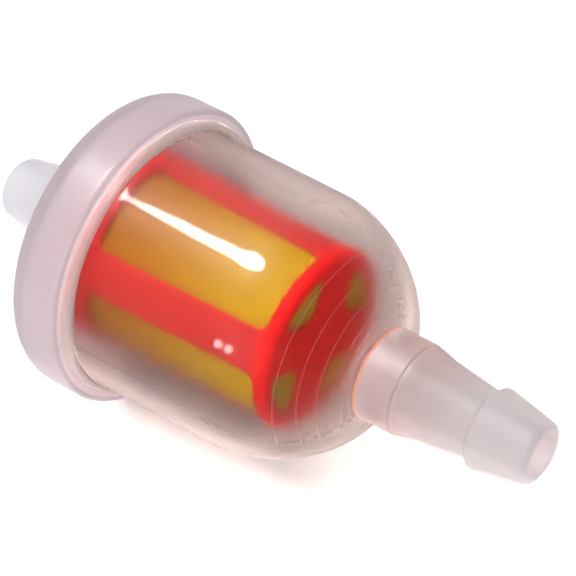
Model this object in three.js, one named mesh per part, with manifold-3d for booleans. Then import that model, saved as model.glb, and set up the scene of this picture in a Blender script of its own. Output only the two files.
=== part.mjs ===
// In-line fuel filter for a small petrol engine, in millimetres.
//
// Fuel flows along +X: in through the hose barb on the cap, into the open end of a red screen
// cage, out through its yellow screens into the bowl, and away through the bowl's hose barb.
// +Z is up and the origin is at mid-length on the axis. Stations along the axis are measured
// from the cap's outer face, and the finished filter is shifted so that its middle is at zero.

import * as THREE from 'three';
import { mergeVertices } from 'three/addons/utils/BufferGeometryUtils.js';
import Module from 'manifold-3d';

const wasm = await Module();
wasm.setup();

// ---- Driving dimensions ----------------------------------------------------------------

const segments = 40;

// The bore that fuel takes through both hose barbs, and the funnel where it opens inside.
const boreRadius = 2.2;
const funnelRadius = 3.2;
const funnelLength = 1.5;

// A hose barb: a tapered tip, a crest that grips the hose, and a neck behind the crest.
const barbTipRadius = 3.15;
const barbTipRound = 0.35;
const barbTaperLength = 5.8;
const barbCrestRadius = 4.25;
const barbBackLength = 0.6;
const barbNeckRadius = 3.5;

// Inlet cap: a stem, an end wall with a rounded corner, a skirt, and a spigot inside.
const inletStemLength = 5.4;
const inletStemRadius = 4.15;
const inletRootRound = 0.6;
const capRadius = 16;
const capCornerRadius = 2.6;
const capLength = 6.6;
const capEndWall = 1.8;
const capSkirtWall = 1.15;
const capEdgeRound = 0.4;
const spigotWall = 1.6;
const spigotLength = 2.8;

// Outlet bowl: a thick rim in the cap's skirt, a straight wall, a dome, and a stepped nozzle.
const rimStep = 0.7;
const rimShow = 0.9;
const rimEdgeRound = 0.25;
const bowlWall = 1.6;
const bowlDraft = 0.25;
const bowlStraightLength = 16;
const domeLength = 11.8;
const domeExponent = 1.64;
const collarRadius = 4.8;
const collarLength = 4;
const coneLength = 2.2;
const outletStemLength = 5.6;
const outletStemRadius = 4.2;

// Screen cage: a base ring, four ribs, an end ring, and a closed end with four spokes and a hub.
const cageWall = 1.5;
const cageDraft = 0.8;
const cageBaseLength = 3.6;
const cageEndRing = 1.4;
const cageEndWall = 1.5;
const cageEndRound = 1.1;
const ribWidth = 4.6;
const ribAngle = 67.1;
const ribCount = 4;
const hubRadius = 4.2;

// Screens: thin panels whose edges sit in pockets moulded in the cage's wall.
const screenThickness = 0.3;
const screenDepth = 0.6;
const screenGrip = 0.35;

// Clearances between pieces.
const weldGap = 0.15;
const seatGap = 0.3;
const spigotGap = 0.15;
const flowGap = 2.3;
const domeGap = 1.2;
const pocketGap = 0.1;

// ---- Sizes that follow from them -------------------------------------------------------

const socketRadius = capRadius - capSkirtWall;
const rimRadius = socketRadius - weldGap;
const bowlRadius = rimRadius - rimStep;
const domeRadius = bowlRadius - bowlDraft;
const domeInnerRadius = domeRadius - bowlWall;
const domeInnerLength = domeLength - bowlWall;

const innerStart = capEndWall + seatGap;
const rimEnd = capLength + rimShow;
const domeStart = capLength + bowlStraightLength;
const domeEnd = domeStart + domeLength;
const collarEnd = domeEnd + collarLength;
const coneEnd = collarEnd + coneLength;
const barbLength = barbTaperLength + barbBackLength;
const outletTip = coneEnd + outletStemLength + barbLength;
const inletTip = -(inletRootRound + inletStemLength + barbLength);
const middle = (inletTip + outletTip) / 2;

const cageBaseRadius = bowlRadius - bowlWall - flowGap;
const cageTipRadius = cageBaseRadius - cageDraft;
const spigotRadius = cageBaseRadius - cageWall - spigotGap;
const cageEnd = domeStart + domeDepthAt(cageTipRadius + domeGap);
const windowStart = innerStart + cageBaseLength;
const windowEnd = cageEnd - cageEndRing;
const endWindowRadius = cageTipRadius - cageWall;

// ---- Outlines --------------------------------------------------------------------------

// Points of a dome's outline, from its wide start to its narrow end, each [station, radius].
// The outline is a quarter of a superellipse: both coordinates are a power of a sine or cosine.
function domeOutline(start, length, wideRadius, narrowRadius, steps) {
  const points = [];
  for (let step = 0; step <= steps; step += 1) {
    const turn = (step / steps) * Math.PI / 2;
    const along = step === steps ? 1 : Math.sin(turn) ** (2 / domeExponent);
    const across = step === steps ? 0 : Math.cos(turn) ** (2 / domeExponent);
    points.push([start + length * along, narrowRadius + (wideRadius - narrowRadius) * across]);
  }
  return points;
}

// How far past the start of the dome its inner wall narrows to a radius.
function domeDepthAt(radius) {
  const across = (radius - funnelRadius) / (domeInnerRadius - funnelRadius);
  const along = (1 - across ** domeExponent) ** (1 / domeExponent);
  return domeInnerLength * along;
}

// A quarter-round from one direction of an outline to the other, each [station, radius].
function roundCorner(station, radius, size, fromAngle, steps) {
  const points = [];
  for (let step = 0; step <= steps; step += 1) {
    const turn = fromAngle - (step / steps) * Math.PI / 2;
    points.push([station + size * Math.cos(turn), radius + size * Math.sin(turn)]);
  }
  return points;
}

// The outside of a hose barb from its tip to the end of its stem, as [distance, radius].
function barbOutline(stemLength, stemRadius) {
  return [
    [0, barbTipRadius - barbTipRound],
    [barbTipRound, barbTipRadius],
    [barbTaperLength, barbCrestRadius],
    [barbLength, barbNeckRadius],
    [barbLength + stemLength, stemRadius],
  ];
}

// The cage's outer radius at a station: it narrows evenly from its open end to its closed end.
function cageRadius(station) {
  const share = (station - innerStart) / (cageEnd - innerStart);
  return cageBaseRadius - cageDraft * share;
}

// ---- Solids ----------------------------------------------------------------------------

// Spins an outline of [station, radius] points about the X axis.
function revolve(outline) {
  const points = outline.map(([station, radius]) => new THREE.Vector2(radius, station));
  const geometry = new THREE.LatheGeometry(points, segments);
  geometry.rotateZ(-Math.PI / 2);
  return geometry;
}

// Turns a closed three.js geometry into a solid that can be joined and cut.
function toSolid(geometry) {
  const bare = geometry.clone();
  bare.deleteAttribute('normal');
  bare.deleteAttribute('uv');
  const merged = mergeVertices(bare, 1e-4);
  const corners = merged.index.array;
  const kept = [];
  for (let i = 0; i < corners.length; i += 3) {
    const [a, b, c] = [corners[i], corners[i + 1], corners[i + 2]];
    if (a !== b && b !== c && c !== a) {
      kept.push(a, b, c);
    }
  }
  return new wasm.Manifold(new wasm.Mesh({
    numProp: 3,
    vertProperties: new Float32Array(merged.attributes.position.array),
    triVerts: new Uint32Array(kept),
  }));
}

// Turns a solid back into a three.js geometry.
function toGeometry(solid) {
  const result = solid.getMesh();
  const geometry = new THREE.BufferGeometry();
  geometry.setAttribute('position', new THREE.BufferAttribute(result.vertProperties, 3));
  geometry.setIndex(new THREE.BufferAttribute(result.triVerts, 1));
  geometry.computeVertexNormals();
  return geometry;
}

// A block that fills one quarter of the space round the axis, between two stations. It stops
// short of the two ribs beside it by the inset, measured from their middle planes.
function quarterBlock(quarter, start, end, inset) {
  const reach = 2 * capRadius;
  const block = new THREE.BoxGeometry(end - start, reach, reach);
  block.translate((start + end) / 2, inset + reach / 2, inset + reach / 2);
  block.rotateX(quarter * (2 * Math.PI / ribCount));
  return toSolid(block);
}

// A conical shell that follows the cage's wall, at a depth below its outer surface.
function wallShell(start, end, depth, thickness) {
  return toSolid(revolve([
    [start, cageRadius(start) - depth],
    [end, cageRadius(end) - depth],
    [end, cageRadius(end) - depth - thickness],
    [start, cageRadius(start) - depth - thickness],
    [start, cageRadius(start) - depth],
  ]));
}

// A flat ring across the axis.
function flatRing(start, end, innerRadius, outerRadius) {
  return toSolid(revolve([
    [start, outerRadius],
    [end, outerRadius],
    [end, innerRadius],
    [start, innerRadius],
    [start, outerRadius],
  ]));
}

// ---- Sub-parts -------------------------------------------------------------------------

function inletCap() {
  const barb = barbOutline(inletStemLength, inletStemRadius);
  const outside = [
    ...barb.map(([distance, radius]) => [inletTip + distance, radius]),
    [0, inletStemRadius + inletRootRound],
    ...roundCorner(capCornerRadius, capRadius - capCornerRadius, capCornerRadius, Math.PI, 6),
    ...roundCorner(capLength - capEdgeRound, capRadius - capEdgeRound, capEdgeRound, Math.PI / 2, 3),
  ];
  const inside = [
    [capLength, socketRadius],
    [capEndWall, socketRadius],
    [capEndWall, spigotRadius],
    [capEndWall + spigotLength, spigotRadius],
    [capEndWall + spigotLength, spigotRadius - spigotWall],
    [capEndWall, spigotRadius - spigotWall],
    [capEndWall, funnelRadius],
    [capEndWall - funnelLength, boreRadius],
    [inletTip, boreRadius],
  ];
  return revolve([...outside, ...inside, outside[0]]);
}

function outletBowl() {
  const barb = barbOutline(outletStemLength, outletStemRadius).reverse();
  const outside = [
    [innerStart, rimRadius],
    ...roundCorner(rimEnd - rimEdgeRound, rimRadius - rimEdgeRound, rimEdgeRound, Math.PI / 2, 2),
    [rimEnd, bowlRadius],
    ...domeOutline(domeStart, domeLength, domeRadius, collarRadius, 14),
    [collarEnd, collarRadius],
    ...barb.map(([distance, radius]) => [outletTip - distance, radius]),
  ];
  const funnelStart = domeStart + domeInnerLength;
  const inside = [
    [outletTip, boreRadius],
    [funnelStart + funnelLength, boreRadius],
    ...domeOutline(domeStart, domeInnerLength, domeInnerRadius, funnelRadius, 10).reverse(),
    [innerStart, bowlRadius - bowlWall],
  ];
  return revolve([...outside, ...inside, outside[0]]);
}

// The cage is a drafted cup. Its side and end windows and the pockets for the screens' edges
// are cut out of it, which leaves the ribs, the spokes and the hub.
function screenCage() {
  const cornerStation = cageEnd - cageEndRound;
  const cornerRadius = cageRadius(cornerStation) - cageEndRound;
  const innerEnd = cageEnd - cageEndWall;
  let cage = toSolid(revolve([
    [innerEnd, 0],
    [innerEnd, cageRadius(innerEnd) - cageWall],
    [innerStart, cageBaseRadius - cageWall],
    [innerStart, cageBaseRadius],
    ...roundCorner(cornerStation, cornerRadius, cageEndRound, Math.PI / 2, 4),
    [cageEnd, 0],
  ]));
  for (let quarter = 0; quarter < ribCount; quarter += 1) {
    cage = cage.subtract(quarterBlock(quarter, windowStart, windowEnd, ribWidth / 2));
    cage = cage.subtract(sidePocket(quarter, 0));
    cage = cage.subtract(endWindow(quarter));
    cage = cage.subtract(endPocket(quarter, 0));
  }
  return toGeometry(cage);
}

// The space in the cage's wall that holds one side screen's edges. A gap makes it smaller all
// round, which gives the screen itself.
function sidePocket(quarter, gap) {
  const start = windowStart - screenGrip + gap;
  const end = windowEnd + screenGrip - gap;
  const thickness = screenThickness + 2 * (pocketGap - gap);
  const shell = wallShell(start, end, screenDepth - pocketGap + gap, thickness);
  const quarterSpace = quarterBlock(quarter, start, end, ribWidth / 2 - screenGrip + gap);
  return shell.intersect(quarterSpace);
}

// One window through the closed end, between the hub, two spokes and the end ring.
function endWindow(quarter) {
  const start = cageEnd - 2 * cageEndWall;
  const end = cageEnd + cageEndWall;
  const ring = flatRing(start, end, hubRadius, endWindowRadius);
  return ring.intersect(quarterBlock(quarter, start, end, ribWidth / 2));
}

// The space in the closed end that holds one end screen's edges, or the screen with a gap.
function endPocket(quarter, gap) {
  const thickness = screenThickness + 2 * (pocketGap - gap);
  const end = cageEnd - screenDepth + pocketGap - gap;
  const start = end - thickness;
  const inner = hubRadius - screenGrip + gap;
  const outer = endWindowRadius + screenGrip - gap;
  const ring = flatRing(start, end, inner, outer);
  return ring.intersect(quarterBlock(quarter, start, end, ribWidth / 2 - screenGrip + gap));
}

// ---- Assembly --------------------------------------------------------------------------

const milkyCap = new THREE.MeshStandardMaterial({ color: 0xd1bfc8, roughness: 0.4, metalness: 0 });
const milkyBowl = new THREE.MeshStandardMaterial({ color: 0xc6aba3, roughness: 0.2, metalness: 0 });
const redPlastic = new THREE.MeshStandardMaterial({ color: 0xdc2318, roughness: 0.35, metalness: 0 });
const yellowMesh = new THREE.MeshStandardMaterial({ color: 0xe0ac28, roughness: 0.6, metalness: 0 });

function addPart(parent, name, geometry, material) {
  const part = new THREE.Mesh(geometry, material);
  part.name = name;
  parent.add(part);
}

const filter = new THREE.Group();
filter.position.x = -middle;
addPart(filter, 'inlet_cap', inletCap(), milkyCap);
addPart(filter, 'outlet_bowl', outletBowl(), milkyBowl);

const element = new THREE.Group();
element.rotation.x = THREE.MathUtils.degToRad(ribAngle);
filter.add(element);
addPart(element, 'screen_cage', screenCage(), redPlastic);
for (let quarter = 0; quarter < ribCount; quarter += 1) {
  const sideScreen = toGeometry(sidePocket(quarter, pocketGap));
  const endScreen = toGeometry(endPocket(quarter, pocketGap));
  addPart(element, `side_screen_${quarter + 1}`, sideScreen, yellowMesh);
  addPart(element, `end_screen_${quarter + 1}`, endScreen, yellowMesh);
}

export default filter;
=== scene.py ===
"""Looks of a small in-line fuel filter: a milky shell round a red cage with yellow screens.

The model stands in the CAD frame. +X runs along the flow, from the inlet on the cap to the
outlet on the bowl, and +Z is up. Sizes in the classes are millimetres, and meshes are metres.
"""

import logging
import math
from dataclasses import dataclass, field
from enum import Enum
from typing import Sequence

import bmesh
import bpy
import numpy as np
from mathutils import Matrix, Vector

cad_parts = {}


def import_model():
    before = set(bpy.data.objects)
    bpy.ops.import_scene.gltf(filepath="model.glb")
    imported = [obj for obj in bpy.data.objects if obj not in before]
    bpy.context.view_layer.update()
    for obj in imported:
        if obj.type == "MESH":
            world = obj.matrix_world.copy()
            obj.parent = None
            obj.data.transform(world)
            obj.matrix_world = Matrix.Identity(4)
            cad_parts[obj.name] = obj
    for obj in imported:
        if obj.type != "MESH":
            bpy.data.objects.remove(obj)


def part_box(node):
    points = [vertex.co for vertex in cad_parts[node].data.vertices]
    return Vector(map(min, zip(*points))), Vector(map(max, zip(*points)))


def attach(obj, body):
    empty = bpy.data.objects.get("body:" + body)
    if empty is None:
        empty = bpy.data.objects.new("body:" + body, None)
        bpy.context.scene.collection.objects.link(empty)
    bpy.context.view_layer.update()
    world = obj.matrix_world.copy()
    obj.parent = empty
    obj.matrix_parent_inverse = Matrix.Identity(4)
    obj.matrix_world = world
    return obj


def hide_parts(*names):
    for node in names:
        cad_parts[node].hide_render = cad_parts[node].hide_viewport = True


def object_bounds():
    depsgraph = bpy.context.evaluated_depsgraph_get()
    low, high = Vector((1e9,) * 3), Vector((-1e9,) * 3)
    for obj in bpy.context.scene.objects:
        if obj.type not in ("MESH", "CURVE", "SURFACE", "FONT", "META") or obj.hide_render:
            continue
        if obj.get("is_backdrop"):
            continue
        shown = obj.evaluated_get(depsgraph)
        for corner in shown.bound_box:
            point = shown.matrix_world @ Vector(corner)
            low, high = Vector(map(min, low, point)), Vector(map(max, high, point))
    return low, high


MM = 0.001
MERGE_DISTANCE = 2e-7
TINY = 1e-6
RIDGE_CLEARANCE = 0.6
CORNER_SHARE = 0.9
MIX_COLOR_INPUTS = (0, 6, 7)
MIX_COLOR_OUTPUT = 2
LOG = logging.getLogger("fuel_filter")

Array = np.ndarray
Color = tuple[float, float, float]
Span = tuple[float, float]
Material = bpy.types.Material
Node = bpy.types.Node
Piece = bpy.types.Object
Socket = bpy.types.NodeSocket
Tree = bpy.types.NodeTree


class Slot(Enum):
    """The record's material slots."""

    CAP = "milky_cap"
    BOWL = "milky_bowl"
    CAGE = "red_plastic"
    SCREEN = "yellow_mesh"


class Wall(Enum):
    """The stretches of a milky shell, as material slot numbers of its mesh."""

    OUTSIDE = 0
    INSIDE = 1
    BARB_OUTSIDE = 2
    BARB_INSIDE = 3
    RIM = 4
    COLLAR = 5
    MOULD_LINE = 6
    # the collar's root ring, painted orange as a painted refraction of the red cage
    COLLAR_ROOT_PAINTED_REFRACTION = 7


# ---- Outlines and grids ------------------------------------------------------------------


@dataclass(frozen=True)
class Corner:
    """A corner of an outline: station along the axis, radius, and rounding."""

    station: float
    radius: float
    rounding: float = 0.0


def arc_at(before: Array, corner: Array, after: Array, rounding: float, steps: int) -> Array:
    """Arc that rounds one corner of an outline.

    Its centre lies on the bisector of the corner's two edges, at rounding / sin(half angle)
    from the corner. Its points turn evenly from one edge's touching point to the other's.

    Args:
        before: The outline's point before the corner.
        corner: The corner itself.
        after: The outline's point after the corner.
        rounding: The arc's radius.
        steps: The number of steps along the arc.

    Returns:
        The arc's points, or the corner alone where there is nothing to round.
    """
    back = (before - corner) / np.linalg.norm(before - corner)
    ahead = (after - corner) / np.linalg.norm(after - corner)
    middle = back + ahead
    if rounding == 0 or np.linalg.norm(middle) < TINY:
        return corner[None]
    middle = middle / np.linalg.norm(middle)
    cosine = back @ middle
    sine = math.sqrt(1 - cosine * cosine)
    centre = corner + middle * rounding / sine
    start = corner + back * rounding * cosine / sine - centre
    end = corner + ahead * rounding * cosine / sine - centre
    turn = math.acos(float(start @ end) / rounding**2)
    share = np.linspace(0, 1, steps + 1)[:, None]
    arc = (np.sin((1 - share) * turn) * start + np.sin(share * turn) * end) / math.sin(turn)
    return centre + arc


def rounded(corners: Sequence[Corner], steps: int = 8) -> Array:
    """Outline through corners, with each inner corner turned into an arc.

    Args:
        corners: The corners, in order.
        steps: The number of steps along each arc.

    Returns:
        Points of [station, radius].
    """
    points = np.array([(c.station, c.radius) for c in corners])
    arcs = [
        arc_at(points[i - 1], points[i], points[i + 1], corners[i].rounding, steps)
        for i in range(1, len(points) - 1)
    ]
    return np.concatenate([points[:1], *arcs, points[-1:]])


def lengths_along(outline: Array) -> Array:
    """Each point's distance along an outline from its first point."""
    steps = np.linalg.norm(np.diff(outline, axis=0), axis=1)
    return np.concatenate([[0.0], np.cumsum(steps)])


def along_outline(outline: Array, lengths: Array, places: Array) -> Array:
    """Points of an outline at some distances along it, found between its own points."""
    return np.stack([np.interp(places, lengths, outline[:, k]) for k in (0, 1)], axis=1)


def refine(outline: Array, longest: float) -> Array:
    """Adds points to an outline, evenly along each of its steps.

    Args:
        outline: Points of [station, radius].
        longest: The longest step to leave, in millimetres.

    Returns:
        The same outline with more points.
    """
    ends = lengths_along(outline)
    steps = np.linalg.norm(np.diff(outline, axis=0), axis=1)
    counts = np.maximum(1, np.ceil(steps / longest)).astype(int)
    spans = zip(ends[:-1], ends[1:], counts)
    places = np.concatenate([*(np.linspace(a, b, n, endpoint=False) for a, b, n in spans), ends[-1:]])
    return along_outline(outline, ends, places)


def dome(start: float, length: float, wide: float, narrow: float, power: float, steps: int) -> Array:
    """Outline of a dome, as a quarter of a superellipse.

    The station runs as sin(turn) ** (2 / power) and the radius as cos(turn) ** (2 / power),
    while turn goes from nothing to a quarter circle.

    Args:
        start: Station of the dome's wide end.
        length: Its length along the axis.
        wide: Radius at its wide end.
        narrow: Radius at its narrow end.
        power: The superellipse's power, 2 for an ellipse and less for a more pointed dome.
        steps: The number of steps.

    Returns:
        Points of [station, radius], from the wide end to the narrow end.
    """
    turn = np.linspace(0, math.pi / 2, steps + 1)
    along = np.sin(turn) ** (2 / power)
    across = np.clip(np.cos(turn), 0, 1) ** (2 / power)
    return np.stack([start + length * along, narrow + (wide - narrow) * across], axis=1)


def with_ridges(
    outline: Array, radii: Sequence[float], height: float, width: float
) -> tuple[Array, Array]:
    """A dome's outline with a fine ridge round it at each of some radii.

    Each ridge is a triangle: the outline is met half a width before and after the radius, and
    stands out by the height, along the outline's own normal, at the radius itself. Points of
    the outline that lie nearer to a ridge than a share of its width are left out.

    Args:
        outline: Points of [station, radius] whose radius falls.
        radii: The radius of each ridge.
        height: How far a ridge stands out.
        width: How wide its foot is.

    Returns:
        The outline with three points more for each ridge, and whether each of its steps is on
        a ridge.
    """
    ends = lengths_along(outline)
    tops = np.interp(np.array(radii), outline[::-1, 1], ends[::-1])
    near_ridge = np.abs(ends[:, None] - tops).min(axis=1) < RIDGE_CLEARANCE * width
    kept = ends[~near_ridge]
    foot = np.zeros(len(tops))
    places = np.concatenate([kept, tops - width / 2, tops, tops + width / 2])
    lift = np.concatenate([np.zeros(len(kept)), foot, foot + height, foot])
    order = np.argsort(places)
    places = places[order]
    points, ahead, behind = (
        along_outline(outline, ends, places + shift) for shift in (0, width, -width)
    )
    run = (ahead - behind) / np.linalg.norm(ahead - behind, axis=1)[:, None]
    normal = np.stack([-run[:, 1], run[:, 0]], axis=1)
    middles = (places[1:] + places[:-1]) / 2
    on_ridge = np.abs(middles[:, None] - tops).min(axis=1) < width / 2
    return points + normal * lift[order][:, None], on_ridge


def revolve(outline: Array, columns: int) -> Array:
    """Grid made by turning an outline about the X axis.

    A point at angle a is [station, radius * cos(a), radius * sin(a)].

    Args:
        outline: Points of [station, radius].
        columns: How many angles the full turn is cut into.

    Returns:
        An array of rows (outline points) by columns (angles) by 3.
    """
    angle = np.linspace(0, 2 * math.pi, columns, endpoint=False)
    station = np.repeat(outline[:, :1], columns, axis=1)
    radius = outline[:, 1:]
    return np.stack([station, radius * np.cos(angle), radius * np.sin(angle)], axis=-1)


@dataclass
class Skin:
    """Grids of points gathered into one closed mesh."""

    points: list[Array] = field(default_factory=list)
    quads: list[Array] = field(default_factory=list)
    slots: list[Array] = field(default_factory=list)
    threads: list[Array] = field(default_factory=list)

    def add(
        self, grid: Array, slot: int | Array = 0, wrap: bool = False, threads: Array | None = None
    ) -> None:
        """Adds one grid of points as quads.

        Args:
            grid: Rows by columns by 3, in millimetres.
            slot: The material slot number of its faces, or one for each row of faces.
            wrap: Whether its last column joins its first.
            threads: Rows by columns by 2, where each point lies on a cloth, in millimetres.
        """
        rows, columns = grid.shape[:2]
        start = sum(len(p) for p in self.points)
        index = start + np.arange(rows * columns).reshape(rows, columns)
        if wrap:
            index = np.concatenate([index, index[:, :1]], axis=1)
        quads = np.stack([index[:-1, :-1], index[1:, :-1], index[1:, 1:], index[:-1, 1:]], axis=-1)
        places = np.zeros((rows, columns, 2)) if threads is None else threads
        self.points.append(grid.reshape(-1, 3))
        self.quads.append(quads.reshape(-1, 4))
        self.slots.append(np.repeat(np.broadcast_to(slot, rows - 1), quads.shape[1]))
        self.threads.append(places.reshape(-1, 2))

    def turn(self, runs: Sequence[tuple[Array, Wall]], longest: float, columns: int) -> None:
        """Adds outlines turned about the axis.

        Args:
            runs: Each outline, and the stretch of the shell that it is.
            longest: The longest step to leave along an outline, in millimetres.
            columns: How many angles the full turn is cut into.
        """
        for outline, stretch in runs:
            self.add(revolve(refine(outline, longest), columns), stretch.value, wrap=True)

    def build(self, name: str, materials: Sequence[Material]) -> Piece:
        """Joins the grids at their shared edges into one object.

        Args:
            name: The object's name.
            materials: The materials of its slots, in order.

        Returns:
            The object, at the origin, with its faces pointing out.
        """
        mesh = bpy.data.meshes.new(name)
        mesh.from_pydata(np.concatenate(self.points) * MM, [], np.concatenate(self.quads))
        mesh.polygons.foreach_set("material_index", np.concatenate(self.slots).astype(np.int32))
        threads = mesh.attributes.new("threads", "FLOAT2", "POINT")
        threads.data.foreach_set("vector", np.concatenate(self.threads).astype(np.float32).ravel())
        for material in materials:
            mesh.materials.append(material)
        shape = bmesh.new()
        shape.from_mesh(mesh)
        bmesh.ops.remove_doubles(shape, verts=shape.verts, dist=MERGE_DISTANCE)
        bmesh.ops.dissolve_degenerate(shape, edges=shape.edges, dist=MERGE_DISTANCE)
        bmesh.ops.recalc_face_normals(shape, faces=shape.faces)
        shape.to_mesh(mesh)
        shape.free()
        mesh.shade_smooth()
        piece = bpy.data.objects.new(name, mesh)
        bpy.context.scene.collection.objects.link(piece)
        return piece


# ---- Shader helpers ----------------------------------------------------------------------


@dataclass
class Nodes:
    """A material's or a node group's tree, with short calls that add and join its nodes."""

    tree: Tree

    def add(self, kind: str, **settings: object) -> Node:
        """Adds a node.

        Args:
            kind: The node's type.
            **settings: Its properties and their values.

        Returns:
            The node.
        """
        node = self.tree.nodes.new(kind)
        for name, value in settings.items():
            setattr(node, name, value)
        return node

    def give(self, socket: Socket, value: object) -> None:
        """Sets an input to a value, or links it to an output.

        Args:
            socket: The input.
            value: A plain value, or the output socket that it reads.
        """
        if isinstance(value, Socket):
            self.tree.links.new(value, socket)
        else:
            socket.default_value = value

    def place(self, group: Tree, **inputs: object) -> Node:
        """Adds a node group, with its inputs set as in feed."""
        return self.feed(self.add("ShaderNodeGroup", node_tree=group), **inputs)

    def feed(self, node: Node, **inputs: object) -> Node:
        """Sets or links a node's inputs.

        Args:
            node: The node.
            **inputs: Input names, with _ for a space, and a value or an output socket for each.

        Returns:
            The same node.
        """
        for name, value in inputs.items():
            self.give(node.inputs[name.replace("_", " ")], value)
        return node

    def math(self, operation: str, *values: object) -> Socket:
        """Adds a Math node.

        Args:
            operation: What it works out.
            *values: Its inputs, in order.

        Returns:
            Its output.
        """
        node = self.add("ShaderNodeMath", operation=operation)
        for socket, value in zip(node.inputs, values):
            self.give(socket, value)
        return node.outputs[0]

    def ramp(self, value: Socket, start: object, end: object) -> Socket:
        """Adds a smooth step from zero at the start value to one at the end value."""
        node = self.add("ShaderNodeMapRange", interpolation_type="SMOOTHSTEP")
        return self.feed(node, Value=value, From_Min=start, From_Max=end).outputs["Result"]

    def mix_color(self, factor: object, first: object, second: object) -> Socket:
        """Mixes two colours.

        Args:
            factor: The share of the second colour.
            first: The first colour.
            second: The second colour.

        Returns:
            The mixed colour.
        """
        node = self.add("ShaderNodeMix", data_type="RGBA")
        for index, value in zip(MIX_COLOR_INPUTS, (factor, first, second)):
            self.give(node.inputs[index], value)
        return node.outputs[MIX_COLOR_OUTPUT]

    def bump(self, height: Socket, strength: float, distance: float) -> Socket:
        """Adds a bump.

        Args:
            height: The height.
            strength: How much of the bump shows.
            distance: How far a height of one stands out, in millimetres.

        Returns:
            The bumped normal.
        """
        node = self.add("ShaderNodeBump")
        self.feed(node, Strength=strength, Distance=distance * MM, Height=height)
        return node.outputs["Normal"]

    def principled(self, **inputs: object) -> Socket:
        """Adds a Principled BSDF, with its inputs set as in feed, and returns its output."""
        return self.feed(self.add("ShaderNodeBsdfPrincipled"), **inputs).outputs["BSDF"]

    def show(self, shader: Socket) -> None:
        """Links a shader to the surface of the material's output node."""
        output = next(n for n in self.tree.nodes if n.type == "OUTPUT_MATERIAL")
        self.give(output.inputs["Surface"], shader)


def rgba(color: Color) -> tuple[float, float, float, float]:
    """A colour with full alpha."""
    return (*color, 1.0)


def new_group(name: str, inputs: dict[str, float], outputs: Sequence[str]) -> Tree:
    """Makes a shader node group with named float inputs and outputs.

    Args:
        name: The group's name.
        inputs: Each input's name and first value.
        outputs: The outputs' names.

    Returns:
        The group's tree, with its input and output nodes in place.
    """
    tree = bpy.data.node_groups.new(name, "ShaderNodeTree")
    for label, value in inputs.items():
        socket = tree.interface.new_socket(label, in_out="INPUT", socket_type="NodeSocketFloat")
        socket.default_value = value
    for label in outputs:
        tree.interface.new_socket(label, in_out="OUTPUT", socket_type="NodeSocketFloat")
    tree.nodes.new("NodeGroupInput")
    tree.nodes.new("NodeGroupOutput")
    return tree


def mottle_group() -> Tree:
    """Group for moulded plastic: cloudy patches, fine grain and rare dark specks.

    Clouds is a soft noise at Cloud Scale, Grain a finer one at Grain Scale, and Specks is one
    inside small cells' centres and zero elsewhere. All are per metre of Object coordinates.

    Returns:
        The group.
    """
    tree = new_group(
        "plastic_mottle",
        {"Cloud Scale": 150.0, "Grain Scale": 2500.0, "Speck Scale": 250.0, "Speck Size": 0.05},
        ("Clouds", "Grain", "Specks"),
    )
    nodes = Nodes(tree)
    given = tree.nodes["Group Input"].outputs
    result = tree.nodes["Group Output"]
    place = nodes.add("ShaderNodeTexCoord").outputs["Object"]
    clouds, grain = (
        nodes.feed(nodes.add("ShaderNodeTexNoise"), Vector=place, Scale=given[scale], Detail=detail)
        for scale, detail in (("Cloud Scale", 3.0), ("Grain Scale", 2.0))
    )
    cells = nodes.feed(nodes.add("ShaderNodeTexVoronoi"), Vector=place, Scale=given["Speck Scale"])
    specks = nodes.math("LESS_THAN", cells.outputs["Distance"], given["Speck Size"])
    tree.links.new(clouds.outputs["Fac"], result.inputs["Clouds"])
    tree.links.new(grain.outputs["Fac"], result.inputs["Grain"])
    tree.links.new(specks, result.inputs["Specks"])
    return tree


def axis_fade_group() -> Tree:
    """Group for a soft change along the X axis, from zero at From to one at To, in metres.

    Returns:
        The group.
    """
    tree = new_group("axis_fade", {"From": -0.014, "To": 0.006}, ("Fade",))
    nodes = Nodes(tree)
    given = tree.nodes["Group Input"].outputs
    place = nodes.add("ShaderNodeTexCoord").outputs["Object"]
    parts = nodes.feed(nodes.add("ShaderNodeSeparateXYZ"), Vector=place)
    fade = nodes.ramp(parts.outputs["X"], given["From"], given["To"])
    tree.links.new(fade, tree.nodes["Group Output"].inputs["Fade"])
    return tree


def weave_group() -> Tree:
    """Group for a plain weave on the threads attribute, which is in millimetres.

    Warp and weft are two sets of round threads, each as high as the cosine across it. Which of
    the two lies on top swaps from one crossing to the next, by a height of Crimp, as a product
    of two sines says. Height is the higher thread, and Gap is one in the open hole between four
    threads.

    Returns:
        The group.
    """
    tree = new_group("plain_weave", {"Pitch": 0.3, "Openness": 0.35, "Crimp": 0.35}, ("Height", "Gap"))
    nodes = Nodes(tree)
    given = tree.nodes["Group Input"].outputs
    result = tree.nodes["Group Output"]
    threads = nodes.add("ShaderNodeAttribute", attribute_name="threads").outputs["Vector"]
    parts = nodes.feed(nodes.add("ShaderNodeSeparateXYZ"), Vector=threads)
    heights = []
    phases = []
    for axis in ("X", "Y"):
        turns = nodes.math("DIVIDE", parts.outputs[axis], given["Pitch"])
        full = nodes.math("MULTIPLY", turns, 2 * math.pi)
        heights.append(nodes.math("COSINE", full))
        phases.append(nodes.math("SINE", nodes.math("MULTIPLY", full, 0.5)))
    swap = nodes.math("MULTIPLY", nodes.math("MULTIPLY", phases[0], phases[1]), given["Crimp"])
    warp = nodes.math("ADD", heights[0], swap)
    weft = nodes.math("SUBTRACT", heights[1], swap)
    top = nodes.math("MAXIMUM", warp, weft)
    level = nodes.math("SUBTRACT", nodes.math("MULTIPLY", given["Openness"], 2.0), 1.0)
    gap = nodes.math("LESS_THAN", top, level)
    tree.links.new(top, result.inputs["Height"])
    tree.links.new(gap, result.inputs["Gap"])
    return tree


# ---- Finishes ----------------------------------------------------------------------------


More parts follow.
